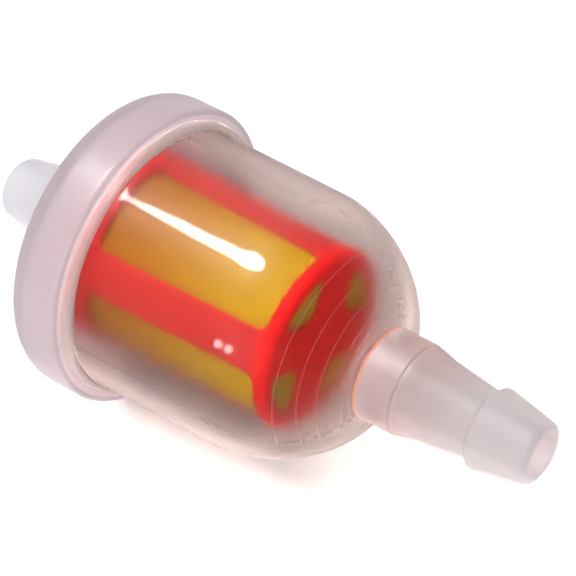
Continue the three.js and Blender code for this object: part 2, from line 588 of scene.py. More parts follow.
def new_material(name: str) -> tuple[Material, Nodes]:
    """Makes a node material with only its output node in it.

    Args:
        name: The material's name.

    Returns:
        The material and its nodes.
    """
    material = bpy.data.materials.new(name)
    material.use_nodes = True
    for node in list(material.node_tree.nodes):
        if node.type != "OUTPUT_MATERIAL":
            material.node_tree.nodes.remove(node)
    return material, Nodes(material.node_tree)


@dataclass(frozen=True)
class MilkyPlastic:
    """Hazy plastic that light goes through, blurred and tinted.

    The tint is what one surface leaves of white light seen head on, and the edge tint is what
    it leaves at a grazing angle, where more plastic lies behind it. It is as rough as the edge
    roughness there. Between the two they change over the tint turn and the blur turn, from zero
    where a surface faces straight on to one where it is seen edge on. The haze is the share that
    scatters light back instead of letting it through. A far tint takes over from the tint
    over a span of stations.
    """

    name: str
    tint: Color
    edge_tint: Color
    roughness: float
    edge_roughness: float
    haze: float
    ior: float = 1.16
    blur_turn: Span = (0.3, 0.8)
    tint_turn: Span = (0.55, 1.0)
    far_tint: Color | None = None
    far_span: Span = (18.0, 28.0)
    clouds: float = 0.12
    grain: float = 0.006
    cloud: Color = (0.5, 0.4, 0.38)
    cloud_roughness: float = 0.3
    speck_size: float = 0.03
    speck: Color = (0.3, 0.17, 0.14)
    lamp_tint: Color = (0.96, 0.94, 0.93)

    def material(self, mottle: Tree, fade: Tree) -> Material:
        """Makes the material, with the plastic's mottle in its colour, roughness and bump.

        Rays that look for a lamp meet a tinted clear surface, so lamps light what is inside.

        Args:
            mottle: The node group of moulded plastic.
            fade: The node group of a change along the axis.

        Returns:
            The material.
        """
        material, nodes = new_material(self.name)
        spots = nodes.place(mottle, Speck_Size=self.speck_size)
        facing = nodes.feed(nodes.add("ShaderNodeLayerWeight"), Blend=0.5).outputs["Facing"]
        deeper = nodes.ramp(facing, *self.tint_turn)
        rougher = nodes.ramp(facing, *self.blur_turn)
        shaded = nodes.mix_color(deeper, rgba(self.tint), rgba(self.edge_tint))
        if self.far_tint:
            start, end = self.far_span
            along = nodes.place(fade, From=start * MM, To=end * MM)
            shaded = nodes.mix_color(along.outputs["Fade"], shaded, rgba(self.far_tint))
        cloudiness = nodes.math("MULTIPLY", spots.outputs["Clouds"], self.clouds)
        cloudy = nodes.mix_color(cloudiness, shaded, rgba(self.cloud))
        speckled = nodes.mix_color(spots.outputs["Specks"], cloudy, rgba(self.speck))
        spread = self.edge_roughness - self.roughness
        swing = self.cloud_roughness * self.roughness
        base = nodes.math("MULTIPLY_ADD", rougher, spread, self.roughness - swing / 2)
        rough = nodes.math("MULTIPLY_ADD", spots.outputs["Clouds"], swing, base)
        bumped = nodes.bump(spots.outputs["Grain"], self.grain, 1.0)
        through = 1 - self.haze
        skin = nodes.principled(
            Base_Color=speckled, Roughness=rough, Normal=bumped, IOR=self.ior, Transmission_Weight=through
        )
        clear = nodes.feed(nodes.add("ShaderNodeBsdfTransparent"), Color=rgba(self.lamp_tint))
        for_lamps = nodes.add("ShaderNodeLightPath").outputs["Is Shadow Ray"]
        mixed = nodes.add("ShaderNodeMixShader")
        for socket, value in zip(mixed.inputs, (for_lamps, skin, clear.outputs["BSDF"])):
            nodes.give(socket, value)
        nodes.show(mixed.outputs["Shader"])
        return material


@dataclass(frozen=True)
class MouldedRed:
    """Satin red moulded plastic, deeper in colour where the closed end makes it thick."""

    name: str = "moulded_red"
    color: Color = (0.42, 0.018, 0.016)
    bright: Color = (0.5, 0.03, 0.027)
    deep: Color = (0.76, 0.002, 0.001)
    deep_span: Span = (4.5, 7.5)
    roughness: float = 0.45
    cloud_roughness: float = 0.2
    gloss: float = 0.02
    grain: float = 0.05

    def material(self, mottle: Tree, fade: Tree) -> Material:
        """Makes the material, with faint clouds in its colour and a fine grain.

        Args:
            mottle: The node group of moulded plastic.
            fade: The node group of a change along the axis.

        Returns:
            The material.
        """
        material, nodes = new_material(self.name)
        spots = nodes.place(mottle)
        start, end = self.deep_span
        depth = nodes.place(fade, From=start * MM, To=end * MM)
        wall = nodes.mix_color(spots.outputs["Clouds"], rgba(self.color), rgba(self.bright))
        color = nodes.mix_color(depth.outputs["Fade"], wall, rgba(self.deep))
        base = self.roughness - self.cloud_roughness / 2
        rough = nodes.math("MULTIPLY_ADD", spots.outputs["Clouds"], self.cloud_roughness, base)
        bumped = nodes.bump(spots.outputs["Grain"], self.grain, 1.0)
        skin = nodes.principled(
            Base_Color=color, Roughness=rough, Normal=bumped, Specular_IOR_Level=self.gloss
        )
        nodes.show(skin)
        return material


@dataclass(frozen=True)
class WovenMesh:
    """Fine woven mesh of golden yellow thread, painted darker and browner towards the cap as painted shade
    from the cap.
    """

    name: str = "woven_yellow"
    thread: Color = (0.52, 0.39, 0.002)
    hollow: Color = (0.4, 0.22, 0.001)
    # painted shade: the darker, browner colour where the cap shades the mesh
    painted_cap_shade: Color = (0.32, 0.13, 0.001)
    painted_cap_shade_span: Span = (5.0, -12.0)
    least_shade: float = 0.2
    cloud_shade: float = 0.5
    gap_shade: float = 0.6
    roughness: float = 0.5
    gloss: float = 0.03
    pitch: float = 0.3
    thread_height: float = 0.05
    thread_bump: float = 0.3

    def material(
        self, mottle: Tree, weave: Tree, fade: Tree
    ) -> Material:
        """Makes the material, with the weave in its colour and bump and clouds in its colour.

        Args:
            mottle: The node group of moulded plastic.
            weave: The node group of a plain weave.
            fade: The node group of a change along the axis.

        Returns:
            The material.
        """
        material, nodes = new_material(self.name)
        spots = nodes.place(mottle)
        cloth = nodes.place(weave, Pitch=self.pitch)
        shade = nodes.math("MULTIPLY_ADD", spots.outputs["Clouds"], self.cloud_shade, self.least_shade)
        # painted shade of the cap: the thread's colour fades to the darker one towards the cap
        start, end = self.painted_cap_shade_span
        painted_cap_shade_fade = nodes.place(fade, From=start * MM, To=end * MM)
        clean = nodes.mix_color(shade, rgba(self.thread), rgba(self.hollow))
        thread = nodes.mix_color(painted_cap_shade_fade.outputs["Fade"], clean, rgba(self.painted_cap_shade))
        gap = nodes.math("MULTIPLY", cloth.outputs["Gap"], self.gap_shade)
        color = nodes.mix_color(gap, thread, rgba(self.hollow))
        bumped = nodes.bump(cloth.outputs["Height"], self.thread_bump, self.thread_height)
        skin = nodes.principled(
            Base_Color=color, Roughness=self.roughness, Normal=bumped, Specular_IOR_Level=self.gloss
        )
        nodes.show(skin)
        return material


# ---- Sub-assemblies ----------------------------------------------------------------------


@dataclass(frozen=True)
class HoseBarb:
    """Outline of a hose barb: a tapered tip, a crest and a neck."""

    bore_radius: float = 2.2
    tip_radius: float = 3.15
    taper_length: float = 5.8
    crest_radius: float = 4.25
    back_length: float = 0.6
    neck_radius: float = 3.5
    lip_rounding: float = 0.15
    tip_flat: float = 0.22
    tip_rounding: float = 0.7
    crest_rounding: float = 0.5

    @property
    def length(self) -> float:
        """From the tip to the neck."""
        return self.taper_length + self.back_length

    @property
    def tip_middle(self) -> float:
        """A radius on the tip's flat face, between the bore and the outer rounding."""
        return self.bore_radius + self.tip_flat

    def corners(self, tip: float, inward: int) -> list[Corner]:
        """Corners from the middle of the tip's face to the neck.

        Args:
            tip: The tip's station.
            inward: 1 where the body lies towards +X of the tip, or -1.

        Returns:
            The corners in order.
        """
        return [
            Corner(tip, self.tip_middle),
            Corner(tip, self.tip_radius, self.tip_rounding),
            Corner(tip + inward * self.taper_length, self.crest_radius, self.crest_rounding),
            Corner(tip + inward * self.length, self.neck_radius, self.crest_rounding),
        ]


@dataclass
class InletCap:
    """The cap with its hose barb, its skirt and the spigot that the cage sits on.

    Outer edges have roundings, and inner ones have fillets.
    """

    barb: HoseBarb = field(default_factory=HoseBarb)
    stem_radius: float = 4.15
    root_rounding: float = 0.6
    length: float = 6.6
    corner_rounding: float = 2.6
    end_wall: float = 1.8
    skirt_wall: float = 1.15
    edge_rounding: float = 0.4
    lip_rounding: float = 0.15
    fillet: float = 0.4
    spigot_radius: float = 8.55
    spigot_wall: float = 1.6
    spigot_length: float = 2.8
    spigot_rounding: float = 0.3
    funnel_radius: float = 3.2
    funnel_length: float = 1.5
    columns: int = 192
    longest_step: float = 0.6

    def build(self, materials: Sequence[Material]) -> Piece:
        """Builds the cap between the stations of its CAD node.

        Args:
            materials: The cap's materials, in the order of Wall.

        Returns:
            The cap.
        """
        low, high = (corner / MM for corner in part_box("inlet_cap"))
        tip, edge, radius = low.x, high.x, high.y
        face = edge - self.length
        socket = radius - self.skirt_wall
        inner = face + self.end_wall
        spigot = inner + self.spigot_length
        spigot_bore = self.spigot_radius - self.spigot_wall
        funnel = inner - self.funnel_length
        rim = (radius + socket) / 2
        stem = rounded([*self.barb.corners(tip, 1), Corner(face - self.root_rounding, self.stem_radius)])
        body = rounded([
            Corner(face - self.root_rounding, self.stem_radius),
            Corner(face, self.stem_radius, CORNER_SHARE * self.root_rounding),
            Corner(face, radius, self.corner_rounding),
            Corner(edge, radius, self.edge_rounding),
            Corner(edge, rim),
        ])
        lining = rounded([
            Corner(edge, rim),
            Corner(edge, socket, self.lip_rounding),
            Corner(inner, socket, self.fillet),
            Corner(inner, self.spigot_radius, self.spigot_rounding),
            Corner(spigot, self.spigot_radius, self.spigot_rounding),
            Corner(spigot, spigot_bore, self.spigot_rounding),
            Corner(inner, spigot_bore, self.fillet),
            Corner(inner, self.funnel_radius, self.fillet),
            Corner(funnel, self.barb.bore_radius),
        ])
        bore = rounded([
            Corner(funnel, self.barb.bore_radius),
            Corner(tip, self.barb.bore_radius, self.barb.lip_rounding),
            Corner(tip, self.barb.tip_middle),
        ])
        runs = (
            (stem, Wall.BARB_OUTSIDE),
            (body, Wall.OUTSIDE),
            (lining, Wall.INSIDE),
            (bore, Wall.BARB_INSIDE),
        )
        skin = Skin()
        skin.turn(runs, self.longest_step, self.columns)
        piece = skin.build("milky_cap_shell", materials)
        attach(piece, "root")
        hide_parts("inlet_cap")
        return piece


@dataclass
class OutletBowl:
    """The bowl with its rim, dome, collar and hose barb.

    The collar ends in a small step down to a short land, where the cone to the barb begins.
    """

    barb: HoseBarb = field(default_factory=HoseBarb)
    rim_length: float = 5.4
    rim_step: float = 0.7
    rim_rounding: float = 0.25
    face_rounding: float = 0.2
    foot_rounding: float = 0.2
    wall: float = 1.6
    draft: float = 0.25
    straight_length: float = 15.1
    dome_length: float = 11.8
    dome_power: float = 1.64
    dome_steps: tuple[int, int] = (72, 48)
    collar_radius: float = 4.8
    collar_length: float = 4.0
    collar_draft: float = 0.05
    collar_rounding: float = 0.2
    collar_step: float = 0.16
    root_length: float = 0.3
    step_slope: float = 0.05
    step_rounding: float = 0.08
    land_length: float = 0.5
    land_draft: float = 0.02
    cone_length: float = 2.2
    cone_rounding: float = 1.2
    stem_radius: float = 4.2
    funnel_radius: float = 3.2
    funnel_length: float = 1.5
    funnel_rounding: float = 0.5
    ridge_radii: tuple[float, ...] = (11.1, 9.7, 8.35, 7.1, 6.15, 5.3)
    ridge_height: float = 0.015
    ridge_width: float = 0.13
    columns: int = 256
    longest_step: float = 0.6

    def build(self, materials: Sequence[Material]) -> Piece:
        """Builds the bowl between the stations of its CAD node.

        Args:
            materials: The bowl's materials, in the order of Wall.

        Returns:
            The bowl.
        """
        low, high = (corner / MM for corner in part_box("outlet_bowl"))
        start, tip, rim_radius = low.x, high.x, high.y
        rim_end = start + self.rim_length
        wall_radius = rim_radius - self.rim_step
        dome_radius = wall_radius - self.draft
        dome_start = rim_end + self.straight_length
        dome_end = dome_start + self.dome_length
        root_end = dome_end + self.root_length
        collar_end = dome_end + self.collar_length
        land_end = collar_end + self.land_length
        land_radius = self.collar_radius - self.collar_step
        cone_end = collar_end + self.cone_length
        inner_radius = wall_radius - self.wall
        rim_middle = (rim_radius + inner_radius) / 2
        outer_steps, inner_steps = self.dome_steps
        bare_dome = dome(
            dome_start, self.dome_length, dome_radius, self.collar_radius, self.dome_power, outer_steps
        )
        outer_dome, on_ridge = with_ridges(
            bare_dome, self.ridge_radii, self.ridge_height, self.ridge_width
        )
        rim = rounded([
            Corner(start, rim_middle),
            Corner(start, rim_radius, self.face_rounding),
            Corner(rim_end, rim_radius, self.rim_rounding),
            Corner(rim_end, wall_radius + self.foot_rounding),
        ])
        side = rounded([
            Corner(rim_end, wall_radius + self.foot_rounding),
            Corner(rim_end, wall_radius, CORNER_SHARE * self.foot_rounding),
            Corner(dome_start, dome_radius),
        ])
        # The collar's root ring, which carries the painted refraction of the red cage.
        root = np.array([[dome_end, self.collar_radius], [root_end, self.collar_radius]])
        collar = rounded([
            Corner(root_end, self.collar_radius),
            Corner(collar_end, self.collar_radius - self.collar_draft, self.collar_rounding),
            Corner(collar_end + self.step_slope, land_radius, self.step_rounding),
            Corner(land_end, land_radius - self.land_draft),
        ])
        stem = rounded([
            Corner(land_end, land_radius - self.land_draft),
            Corner(cone_end, self.stem_radius, self.cone_rounding),
            *self.barb.corners(tip, -1)[::-1],
        ])
        funnel = dome_end - self.wall
        inner_length, wide = self.dome_length - self.wall, dome_radius - self.wall
        inner_dome = dome(
            dome_start, inner_length, wide, self.funnel_radius, self.dome_power, inner_steps
        )
        bore = rounded([
            Corner(tip, self.barb.tip_middle),
            Corner(tip, self.barb.bore_radius, self.barb.lip_rounding),
            Corner(funnel + self.funnel_length, self.barb.bore_radius, self.funnel_rounding),
            Corner(funnel, self.funnel_radius),
        ])
        mouth = np.array([[start, inner_radius], [start, rim_middle]])
        runs = (
            (rim, Wall.RIM),
            (side, Wall.OUTSIDE),
            (root, Wall.COLLAR_ROOT_PAINTED_REFRACTION),
            (collar, Wall.COLLAR),
            (stem, Wall.BARB_OUTSIDE),
            (bore, Wall.BARB_INSIDE),
            (np.concatenate([inner_dome[::-1], mouth]), Wall.INSIDE),
        )
        skin = Skin()
        skin.turn(runs, self.longest_step, self.columns)
        # the ridges take the mould line finish, whose extra haze is a painted glint
        dome_slots = np.where(on_ridge, Wall.MOULD_LINE.value, Wall.OUTSIDE.value)
        skin.add(revolve(outer_dome, self.columns), dome_slots, wrap=True)
        piece = skin.build("clear_bowl_shell", materials)
        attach(piece, "root")
        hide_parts("outlet_bowl")
        return piece


@dataclass
class ScreenCage:
    """The red cage and the yellow screens in its windows.

    A place on the cage is a distance along its wall or its closed end, an angle round the axis,
    and a depth below its outer surface.
    """

    wall: float = 1.5
    end_wall: float = 1.5
    draft: float = 0.8
    base_length: float = 3.6
    end_ring: float = 1.4
    end_rounding: float = 1.1
    rib_width: float = 4.6
    rib_angle: float = math.radians(67.1)
    rib_count: int = 4
    hub_radius: float = 4.2
    centre_radius: float = 1.5
    edge_rounding: float = 0.3
    window_rounding: float = 1.0
    screen_depth: float = 0.6
    screen_thickness: float = 0.3
    screen_grip: float = 0.35
    across_steps: int = 28
    along_steps: int = 36
    face_steps: int = 6
    edge_steps: int = 4
    end_turn_steps: int = 8
    base_steps: int = 3
    centre_steps: int = 4
    screen_points: int = 25
    cad_facet: float = 9.0
    start: float = field(init=False)
    end: float = field(init=False)
    base_radius: float = field(init=False)
    tip_radius: float = field(init=False)
    inner_end: float = field(init=False)
    corner_station: float = field(init=False)
    corner_radius: float = field(init=False)

    def __post_init__(self) -> None:
        """Reads the cage's place from its CAD node."""
        low, high = (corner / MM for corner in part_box("screen_cage"))
        self.start = low.x
        self.end = high.x
        self.base_radius = max(high.y, high.z) / math.cos(math.radians(self.rib_facet_lean()))
        self.tip_radius = self.base_radius - self.draft
        self.inner_end = self.end - self.end_wall
        self.corner_station = self.end - self.end_rounding
        self.corner_radius = self.radius_at(self.corner_station) - self.end_rounding

    def rib_facet_lean(self) -> float:
        """How far, in degrees, the faceted CAD wall's outermost vertex lies off the Z axis."""
        lean = math.degrees(self.rib_angle) % self.cad_facet
        return min(lean, self.cad_facet - lean)

    def radius_at(self, station: Array | float) -> Array | float:
        """The outer radius at a station."""
        return self.base_radius - self.draft * (station - self.start) / (self.end - self.start)

    def side_place(self, station: Array, angle: Array, depth: Array) -> Array:
        """Points on the drafted wall.

        A point is mixed, by its depth's share of the wall, from the outer line of the wall and
        the inner one, and then turned about the X axis.

        Args:
            station: Stations on the outer line.
            angle: Angles from the first rib.
            depth: Depths below the outer surface.

        Returns:
            The points.
        """
        share = depth / self.wall
        run = (station - self.start) / (self.corner_station - self.start)
        inner_station = self.start + run * (self.inner_end - self.start)
        x = (1 - share) * station + share * inner_station
        inner_radius = self.radius_at(inner_station) - self.wall
        radius = (1 - share) * self.radius_at(station) + share * inner_radius
        return self.turned(x, radius, angle)

    def end_place(self, distance: Array, angle: Array, depth: Array) -> Array:
        """Points on the closed end, mixed as on the wall.

        Args:
            distance: Distances from the axis on the outer face.
            angle: Angles from the first rib.
            depth: Depths below the outer face.

        Returns:
            The points.
        """
        share = depth / self.end_wall
        inner = distance * (self.radius_at(self.inner_end) - self.wall) / self.corner_radius
        x = (1 - share) * self.end + share * self.inner_end
        return self.turned(x + 0 * angle, (1 - share) * distance + share * inner, angle)

    def turned(self, x: Array, radius: Array, angle: Array) -> Array:
        """Points at a station and radius, at an angle counted from the first rib."""
        full = angle + self.rib_angle
        return np.stack([x + 0 * full, radius * np.cos(full), radius * np.sin(full)], axis=-1)

    def half_width(self, radius: Array, inset: float | Array) -> Array:
        """Half of a window's angle at a radius, where ribs end an inset from their middle."""
        return math.pi / self.rib_count - np.arcsin(inset / radius)

    def window(self, on_end: bool) -> Span:
        """Where a window begins and ends: distances on the closed end, or stations."""
        if on_end:
            return self.hub_radius, self.tip_radius - self.wall
        return self.start + self.base_length, self.end - self.end_ring

    def frame(self, quarter: int, on_end: bool) -> Array:
        """The solid border round one window, from the window's edge to its quarter's bounds.

        Points run round the window in one direction. In the other they cross the outer face
        from the bounds to the window, turn over its rounded edge, go down through the wall, and
        come back over the inner face.

        Args:
            quarter: Which quarter of the cage.
            on_end: Whether the window is in the closed end instead of the wall.

        Returns:
            Rows (across the border) by columns (round the window) by 3.
        """
        u, v = square_round(self.across_steps, self.along_steps)
        share, grow, depth = border_section(
            self.edge_rounding, self.wall, self.face_steps, self.edge_steps
        )
        low, high = (
            (self.centre_radius, self.corner_radius) if on_end else (self.start, self.corner_station)
        )
        near, far = self.window(on_end)
        middle = (near + far) / 2
        half = (far - near) / 2
        radius_middle = middle if on_end else self.radius_at(middle)
        flat = radius_middle * self.half_width(radius_middle, self.rib_width / 2)
        side, along = rounded_square(u, v, flat, half, self.window_rounding, grow[:, None])
        along = middle + along
        radius = along if on_end else self.radius_at(along)
        reach = self.half_width(radius, self.rib_width / 2 - grow[:, None])
        angle = reach * side
        edge_angle = u * math.pi / self.rib_count
        edge_along = low + (v + 1) / 2 * (high - low)
        mixed_angle = (1 - share[:, None]) * edge_angle + share[:, None] * angle
        mixed_along = (1 - share[:, None]) * edge_along + share[:, None] * along
        turn = (2 * quarter + 1) * math.pi / self.rib_count
        place = self.end_place if on_end else self.side_place
        return place(mixed_along, mixed_angle + turn, depth[:, None])

    def build(self, material: Material) -> Piece:
        """Builds the cage as one closed skin.

        Args:
            material: The red plastic.

        Returns:
            The cage.
        """
        skin = Skin()
        for quarter in range(self.rib_count):
            skin.add(self.frame(quarter, on_end=False), wrap=True)
            skin.add(self.frame(quarter, on_end=True), wrap=True)
        columns = self.rib_count * self.across_steps
        angle = np.linspace(0, 2 * math.pi, columns, endpoint=False)
        turn = np.linspace(0, math.pi / 2, self.end_turn_steps + 1)[:, None]
        station = self.corner_station + self.end_rounding * np.sin(turn)
        radius = self.corner_radius + self.end_rounding * np.cos(turn)
        skin.add(self.turned(station, radius, angle), wrap=True)
        depth = np.linspace(0, self.wall, self.base_steps + 1)[:, None]
        skin.add(self.side_place(np.full_like(depth, self.start), angle, depth), wrap=True)
        distance = np.linspace(self.centre_radius, 0, self.centre_steps + 1)[:, None]
        for deep in (0.0, self.end_wall):
            skin.add(self.end_place(distance, angle, np.full_like(distance, deep)), wrap=True)
        piece = skin.build("red_screen_cage", [material])
        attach(piece, "root")
        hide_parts("screen_cage")
        return piece

    def screen(self, quarter: int, on_end: bool, material: Material) -> Piece:
        """Builds the screen in one window, as a thin panel whose edges are held in the cage.

        Args:
            quarter: Which quarter of the cage.
            on_end: Whether the window is in the closed end instead of the wall.
            material: The woven material.

        Returns:
            The screen.
        """
        near, far = self.window(on_end)
        points = self.screen_points
        along = np.linspace(near - self.screen_grip, far + self.screen_grip, points)[:, None]
        radius = along if on_end else self.radius_at(along)
        half = self.half_width(radius, self.rib_width / 2 - self.screen_grip)
        loop = np.concatenate([np.linspace(-1, 1, points), np.linspace(1, -1, points)])
        back = self.screen_depth + self.screen_thickness
        deep = np.concatenate([np.full(points, self.screen_depth), np.full(points, back)])
        turn = (2 * quarter + 1) * math.pi / self.rib_count
        place = self.end_place if on_end else self.side_place
        grid = place(along + 0 * loop, half * loop + turn, deep + 0 * along)
        threads = np.stack([radius * half * loop, along + 0 * loop], axis=-1)
        skin = Skin()
        skin.add(grid, wrap=True, threads=threads)
        for row in (0, -1):
            ends, end_threads = (
                np.stack([values[row, :points], values[row, : points - 1 : -1]])
                for values in (grid, threads)
            )
            skin.add(ends, threads=end_threads)
        kind = "end" if on_end else "side"
        piece = skin.build(f"woven_{kind}_screen_{quarter + 1}", [material])
        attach(piece, "root")
        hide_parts(f"{kind}_screen_{quarter + 1}")
        return piece


def square_round(across: int, along: int) -> tuple[Array, Array]:
    """Points round the edge of the square from -1 to 1, as two coordinates.

    Args:
        across: Steps on each edge that runs in the first coordinate.
        along: Steps on each edge that runs in the second coordinate.

    Returns:
        The first and the second coordinate of each point.
    """
    side = np.linspace(-1, 1, across, endpoint=False)
    rise = np.linspace(-1, 1, along, endpoint=False)
    u = np.concatenate([side, np.ones(along), -side, -np.ones(along)])
    v = np.concatenate([-np.ones(across), rise, np.ones(across), -rise])
    return u, v


def rounded_square(
    u: Array, v: Array, width: float, height: float, rounding: float, grow: Array
) -> tuple[Array, Array]:
    """Moves points from the edge of a square to a rectangle with round corners.

    A point near a corner is pulled to the corner's circle, along the line to its centre.

    Args:
        u: The points' first coordinates, from -1 to 1.
        v: Their second coordinates.
        width: Half of the rectangle's width.
        height: Half of its height.
        rounding: The radius of its corners.
        grow: How much larger the outline is on every side.

    Returns:
        The first coordinate as a share of the half width, and the second as a length.
    """
    wide = width + grow
    high = height + grow
    corner = rounding + grow
    x = u * wide
    y = v * high
    over_x = np.maximum(np.abs(x) - (wide - corner), 0)
    over_y = np.maximum(np.abs(y) - (high - corner), 0)
    length = np.hypot(over_x, over_y)
    pull = np.where((over_x > 0) & (over_y > 0), corner / np.maximum(length, TINY), 1.0)
    x = np.sign(x) * (np.abs(x) - over_x + over_x * pull)
    y = np.sign(y) * (np.abs(y) - over_y + over_y * pull)
    return x / wide, y


def border_section(rounding: float, wall: float, steps: int, arc_steps: int) -> tuple[Array, Array, Array]:
    """Section of a window's border, from its outer bounds over the window's edge and back.

    Args:
        rounding: Radius of the edge's two roundings.
        wall: The wall's thickness.
        steps: Steps over each face.
        arc_steps: Steps over each rounding.

    Returns:
        The share of the way to the window, how far the outline is grown, and the depth.
    """
    way = np.linspace(0, 1, steps, endpoint=False)
    turn = np.linspace(0, math.pi / 2, arc_steps + 1)
    grow = rounding * (1 - np.sin(turn))
    depth = rounding * (1 - np.cos(turn))
    share = np.concatenate([way, np.ones(2 * len(turn)), way[::-1]])
    grown = np.concatenate([np.full(steps, rounding), grow, grow[::-1], np.full(steps, rounding)])
    deep = np.concatenate([np.zeros(steps), depth, wall - depth[::-1], np.full(steps, wall)])
    return share, grown, deep


# ---- Studio ------------------------------------------------------------------------------


class Lit(Enum):
    """What a lamp does."""

    SURFACES = "lights surfaces without showing in gloss"
    GLOSS = "shows in gloss without lighting surfaces"


@dataclass(frozen=True)
class Lamp:
    """A lamp that faces the filter, in metres and watts.

    Its width runs along a direction, as nearly as facing the filter allows.
    """

    name: str
    place: Vector
    width: float
    height: float
    watts: float
    lit: Lit = Lit.SURFACES
    shape: str = "RECTANGLE"
    along: Vector = Vector((1, 0, 0))


@dataclass(frozen=True)
class Highlight:
    """A point of the bowl where a lamp is mirrored to the camera.

    It has a station and a radius in millimetres, and an angle round the axis in degrees. The
    lean is how far the surface's normal turns towards +X, as the sine of that turn.
    """

    station: float
    radius: float
    angle: float
    lean: float

    @property
    def outward(self) -> Vector:
        """Direction from the axis."""
        angle = math.radians(self.angle)
        return Vector((0, math.cos(angle), math.sin(angle)))

    @property
    def point(self) -> Vector:
        """The point."""
        return Vector((self.station, 0, 0)) + self.radius * self.outward

    @property
    def normal(self) -> Vector:
        """The surface's normal there."""
        return Vector((self.lean, 0, 0)) + math.sqrt(1 - self.lean**2) * self.outward


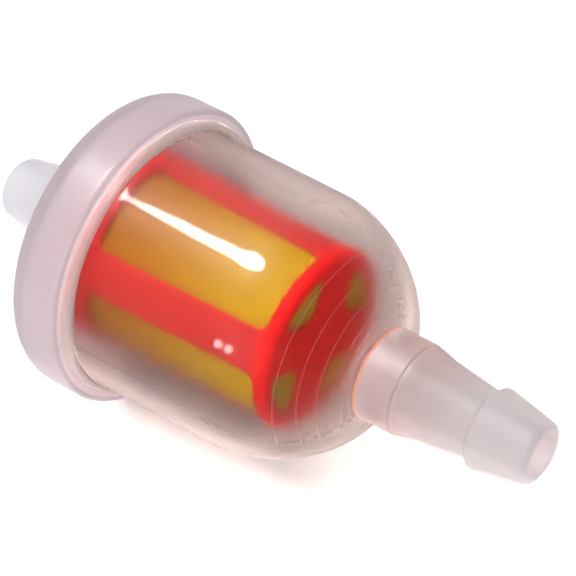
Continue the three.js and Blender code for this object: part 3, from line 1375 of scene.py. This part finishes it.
@dataclass
class Studio:
    """Camera, lights, world and floor.

    The glint is two lamps, and its split is where the first one ends and the second begins.
    """

    azimuth: float = math.radians(38.23)
    elevation: float = math.radians(40.28)
    lens: float = 156.15
    sensor: float = 36.0
    clip: Span = (0.01, 10.0)
    distance: float = 240.0
    aim: tuple[float, float, float] = (9.9, 0.0, 0.0)
    shift_right: float = 5.559
    shift_up: float = -6.346
    floor_color: Color = (0.97, 0.97, 0.97)
    floor_roughness: float = 0.9
    floor_reach: float = 2.0
    world_strength: float = 0.7
    overhead: Lamp = Lamp("overhead", Vector((-0.5, 0.3, 1.5)), 2.0, 2.0, 15.0)
    low_front: Lamp = Lamp("low_front", Vector((0.2, -0.7, 0.12)), 0.8, 0.25, 2.6)
    gloss_distance: float = 500.0
    streak_height: float = 0.13
    streak_watts: float = 13.0
    glint_height: float = 0.06
    glint_watts: Span = (1.0, 0.8)
    glint_split: Span = (0.52, 0.64)
    streak_start: Highlight = Highlight(-11.8, 13.97, 116.65, 0.017)
    streak_end: Highlight = Highlight(4.75, 13.32, 116.8, 0.261)
    glint_start: Highlight = Highlight(3.54, 13.65, 151.45, 0.159)
    glint_end: Highlight = Highlight(5.43, 13.1, 152.39, 0.308)

    def directions(self) -> tuple[Vector, Vector, Vector]:
        """Works out how the camera is turned.

        Returns:
            The camera's right, up and backward directions.
        """
        ca, sa = math.cos(self.azimuth), math.sin(self.azimuth)
        ce, se = math.cos(self.elevation), math.sin(self.elevation)
        return Vector((ca, sa, 0)), Vector((-sa * se, ca * se, ce)), Vector((sa * ce, -ca * ce, se))

    @property
    def camera_place(self) -> Vector:
        """Where the camera stands, in millimetres."""
        right, up, back = self.directions()
        return Vector(self.aim) - self.shift_right * right - self.shift_up * up + self.distance * back

    def make_camera(self) -> None:
        """Places the camera so that the filter fills the frame corner to corner."""
        data = bpy.data.cameras.new("camera")
        data.lens = self.lens
        data.sensor_width = self.sensor
        data.clip_start, data.clip_end = self.clip
        camera = bpy.data.objects.new("camera", data)
        camera.location = self.camera_place * MM
        camera.rotation_mode = "QUATERNION"
        camera.rotation_quaternion = (-self.directions()[2]).to_track_quat("-Z", "Y")
        bpy.context.scene.collection.objects.link(camera)
        bpy.context.scene.camera = camera

    def mirrored(self, highlight: Highlight) -> Vector:
        """Place of a lamp, in metres, that a highlight mirrors to the camera.

        The view direction is turned about the normal: twice their product times the normal,
        less the view direction.

        Args:
            highlight: The highlight.

        Returns:
            The lamp's place.
        """
        view = (self.camera_place - highlight.point).normalized()
        normal = highlight.normal
        way = 2 * view.dot(normal) * normal - view
        return (highlight.point + self.gloss_distance * way) * MM

    def make_lamp(self, lamp: Lamp) -> None:
        """Adds one lamp.

        Args:
            lamp: What to add.
        """
        data = bpy.data.lights.new(lamp.name, "AREA")
        data.shape = lamp.shape
        data.size, data.size_y = lamp.width, lamp.height
        data.energy = lamp.watts
        away = lamp.place.normalized()
        level = (lamp.along - lamp.along.dot(away) * away).normalized()
        turned = Matrix((level, away.cross(level), away)).transposed()
        piece = bpy.data.objects.new(lamp.name, data)
        piece.location = lamp.place
        piece.rotation_mode = "QUATERNION"
        piece.rotation_quaternion = turned.to_quaternion()
        piece.visible_glossy = lamp.lit is Lit.GLOSS
        piece.visible_diffuse = lamp.lit is Lit.SURFACES
        piece.visible_transmission = lamp.lit is Lit.SURFACES
        bpy.context.scene.collection.objects.link(piece)

    def make_gloss(self, name: str, start: Vector, end: Vector, height: float, watts: float) -> None:
        """Adds an oval lamp that shows only in gloss.

        Args:
            name: The lamp's name.
            start: One end of the lamp.
            end: Its other end.
            height: Its height, in metres.
            watts: Its power.
        """
        along = end - start
        place = (start + end) / 2
        self.make_lamp(Lamp(name, place, along.length, height, watts, Lit.GLOSS, "ELLIPSE", along))

    def make_world(self) -> None:
        """Sets an even white world."""
        world = bpy.data.worlds.new("world")
        world.use_nodes = True
        background = world.node_tree.nodes["Background"]
        background.inputs["Color"].default_value = (1, 1, 1, 1)
        background.inputs["Strength"].default_value = self.world_strength
        bpy.context.scene.world = world

    def make_floor(self, height: float) -> None:
        """Lays a large pale floor under the filter.

        Args:
            height: The floor's height, in metres.
        """
        material, nodes = new_material("floor")
        color = rgba(self.floor_color)
        nodes.show(nodes.principled(Base_Color=color, Roughness=self.floor_roughness))
        mesh = bpy.data.meshes.new("floor")
        signs = ((-1, -1), (1, -1), (1, 1), (-1, 1))
        corners = [(x * self.floor_reach, y * self.floor_reach, height) for x, y in signs]
        mesh.from_pydata(corners, [], [(0, 1, 2, 3)])
        mesh.materials.append(material)
        floor = bpy.data.objects.new("floor", mesh)
        bpy.context.scene.collection.objects.link(floor)
        floor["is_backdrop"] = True

    def build(self, floor_height: float) -> None:
        """Makes everything round the filter.

        Args:
            floor_height: The floor's height, in metres.
        """
        self.make_camera()
        self.make_world()
        self.make_floor(floor_height)
        self.make_lamp(self.overhead)
        self.make_lamp(self.low_front)
        start, end = self.mirrored(self.streak_start), self.mirrored(self.streak_end)
        self.make_gloss("streak", start, end, self.streak_height, self.streak_watts)
        near, far = self.mirrored(self.glint_start), self.mirrored(self.glint_end)
        left_end, right_start = (near.lerp(far, share) for share in self.glint_split)
        left_watts, right_watts = self.glint_watts
        self.make_gloss("glint_left", near, left_end, self.glint_height, left_watts)
        self.make_gloss("glint_right", right_start, far, self.glint_height, right_watts)
        bpy.context.scene.view_settings.view_transform = "Standard"


def cap_finishes() -> tuple[MilkyPlastic, ...]:
    """The cap's finishes, in the order of Wall."""
    inlet = (0.67, 0.66, 0.69), (0.65, 0.64, 0.67)
    return (
        MilkyPlastic("cap_outside", (0.55, 0.49, 0.525), (0.53, 0.465, 0.5), 0.3, 0.5, 0.5),
        MilkyPlastic("cap_inside", (0.76, 0.67, 0.7), (0.7, 0.6, 0.64), 0.4, 0.5, 0.3),
        MilkyPlastic("inlet_outside", *inlet, 0.3, 0.5, 0.5),
        MilkyPlastic("inlet_inside", *inlet, 0.5, 0.5, 0.5),
    )


def bowl_finishes() -> tuple[MilkyPlastic, ...]:
    """The bowl's finishes, in the order of Wall."""
    edge = (0.34, 0.27, 0.25)
    # The nozzle's milky tints are pink near the collar as a painted red glow from the cage; the far tint,
    # greyer and lighter, takes over towards the tip.
    nozzle_with_red_glow = (0.45, 0.36, 0.36), (0.43, 0.34, 0.34)
    tip = (0.58, 0.535, 0.545)
    return (
        MilkyPlastic("bowl_outside", (0.61, 0.53, 0.51), edge, 0.05, 0.5, 0.003),
        MilkyPlastic("bowl_inside", (0.63, 0.55, 0.53), edge, 0.42, 0.8, 0.003),
        MilkyPlastic("nozzle_outside", *nozzle_with_red_glow, 0.5, 0.6, 0.6, far_tint=tip),
        MilkyPlastic("nozzle_inside", (0.5, 0.45, 0.46), (0.48, 0.43, 0.44), 0.6, 0.6, 0.5),
        MilkyPlastic("bowl_rim", (0.55, 0.47, 0.45), (0.52, 0.43, 0.41), 0.4, 0.6, 0.6),
        MilkyPlastic("collar", (0.48, 0.36, 0.36), (0.44, 0.33, 0.32), 0.5, 0.6, 0.45, ior=1.25),
        # The mould lines are real ridges; their hazier, lighter finish is a painted glint along each ring.
        MilkyPlastic("mould_line_painted_glint", (0.62, 0.53, 0.51), edge, 0.25, 0.5, 0.08),
        # Painted refraction: an orange ring standing in for the red cage seen through the collar's root.
        MilkyPlastic("collar_root_painted_refraction", (0.72, 0.26, 0.15), (0.66, 0.22, 0.12), 0.4, 0.5, 0.5),
    )


def main() -> None:
    """Builds the filter's pieces round the CAD frame, then the studio."""
    logging.basicConfig(level=logging.INFO, format="%(name)s: %(message)s")
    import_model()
    cad_low, cad_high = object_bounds()
    mottle = mottle_group()
    weave = weave_group()
    fade = axis_fade_group()
    cap_set = [finish.material(mottle, fade) for finish in cap_finishes()]
    bowl_set = [finish.material(mottle, fade) for finish in bowl_finishes()]
    red = MouldedRed().material(mottle, fade)
    woven = WovenMesh().material(mottle, weave, fade)
    pieces = [
        InletCap().build(cap_set),
        OutletBowl().build(bowl_set),
    ]
    cage = ScreenCage()
    pieces.append(cage.build(red))
    for on_end in (False, True):
        for quarter in range(cage.rib_count):
            pieces.append(cage.screen(quarter, on_end, woven))
    for piece in pieces:
        LOG.info("%s: %d faces", piece.name, len(piece.data.polygons))
    Studio().build(cad_low.z)


if __name__ == "__main__":
    main()
